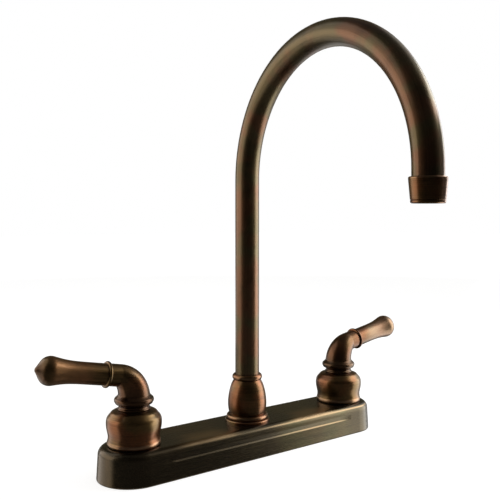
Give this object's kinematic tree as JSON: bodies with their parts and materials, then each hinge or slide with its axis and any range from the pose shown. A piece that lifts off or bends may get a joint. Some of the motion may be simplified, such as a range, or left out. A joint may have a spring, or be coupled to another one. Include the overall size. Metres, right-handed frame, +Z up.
{
  "type": "two handle kitchen faucet",
  "caption": "Deck-mounted kitchen faucet with a swivelling gooseneck spout and two quarter-turn lever handles on a long rounded deck plate.",
  "frame": {"origin": "centre of the deck plate's underside, on the sink surface", "axes": "+Z up, -Y towards the user, hot handle at -X and cold handle at +X"},
  "size_m": [0.3448, 0.2291, 0.3626],
  "materials": {
    "oil_rubbed_bronze": "brushed, dark oil-rubbed",
    "raw_brass": "machined",
    "copper": "drawn tube",
    "stainless_steel": "satin",
    "disc_ceramic": "lapped",
    "rubber": "matte",
    "black_plastic": "matte",
    "white_plastic": "satin"
  },
  "bodies": {
    "base": {"base_plate": "black_plastic", "cold_bonnet_nut": "raw_brass", "cold_cartridge_oring": "rubber", "cold_cartridge_shell": "white_plastic", "cold_cross_tube": "copper", "cold_fixed_disc": "disc_ceramic", "cold_seat_seal": "rubber", "cold_valve_body": "raw_brass", "deck_cover": "oil_rubbed_bronze", "hot_bonnet_nut": "raw_brass", "hot_cartridge_oring": "rubber", "hot_cartridge_shell": "white_plastic", "hot_cross_tube": "copper", "hot_fixed_disc": "disc_ceramic", "hot_seat_seal": "rubber", "hot_valve_body": "raw_brass", "mounting_nuts": "black_plastic", "mounting_washers": "stainless_steel", "spout_bushing": "white_plastic", "spout_hub": "oil_rubbed_bronze", "spout_post": "raw_brass", "spout_retainer": "white_plastic", "spout_trim_ring": "oil_rubbed_bronze"},
    "spout": {"spout_tube": "oil_rubbed_bronze", "spout_insert": "raw_brass", "spout_orings": "rubber", "outlet_collar": "oil_rubbed_bronze", "aerator_washer": "rubber", "aerator_housing": "black_plastic", "aerator_screen": "stainless_steel"},
    "hot_handle": {"hot_handle_bell": "oil_rubbed_bronze", "hot_lever": "oil_rubbed_bronze", "hot_set_screw": "stainless_steel", "hot_stem": "raw_brass", "hot_stem_oring": "rubber", "hot_stem_clip": "stainless_steel", "hot_rotor_disc": "disc_ceramic"},
    "cold_handle": {"cold_handle_bell": "oil_rubbed_bronze", "cold_lever": "oil_rubbed_bronze", "cold_set_screw": "stainless_steel", "cold_stem": "raw_brass", "cold_stem_oring": "rubber", "cold_stem_clip": "stainless_steel", "cold_rotor_disc": "disc_ceramic"}
  },
  "joints": [
    {"name": "spout_swivel", "type": "hinge", "parent": "base", "child": "spout", "pos_m": [0, 0, 0.03], "axis": [0, 0, 1], "continuous": true},
    {"name": "hot_handle_turn", "type": "hinge", "parent": "base", "child": "hot_handle", "pos_m": [-0.1016, 0, 0.03], "axis": [0, 0, 1], "range_deg": [0, 90]},
    {"name": "cold_handle_turn", "type": "hinge", "parent": "base", "child": "cold_handle", "pos_m": [0.1016, 0, 0.03], "axis": [0, 0, 1], "range_deg": [-90, 0]}
  ]
}
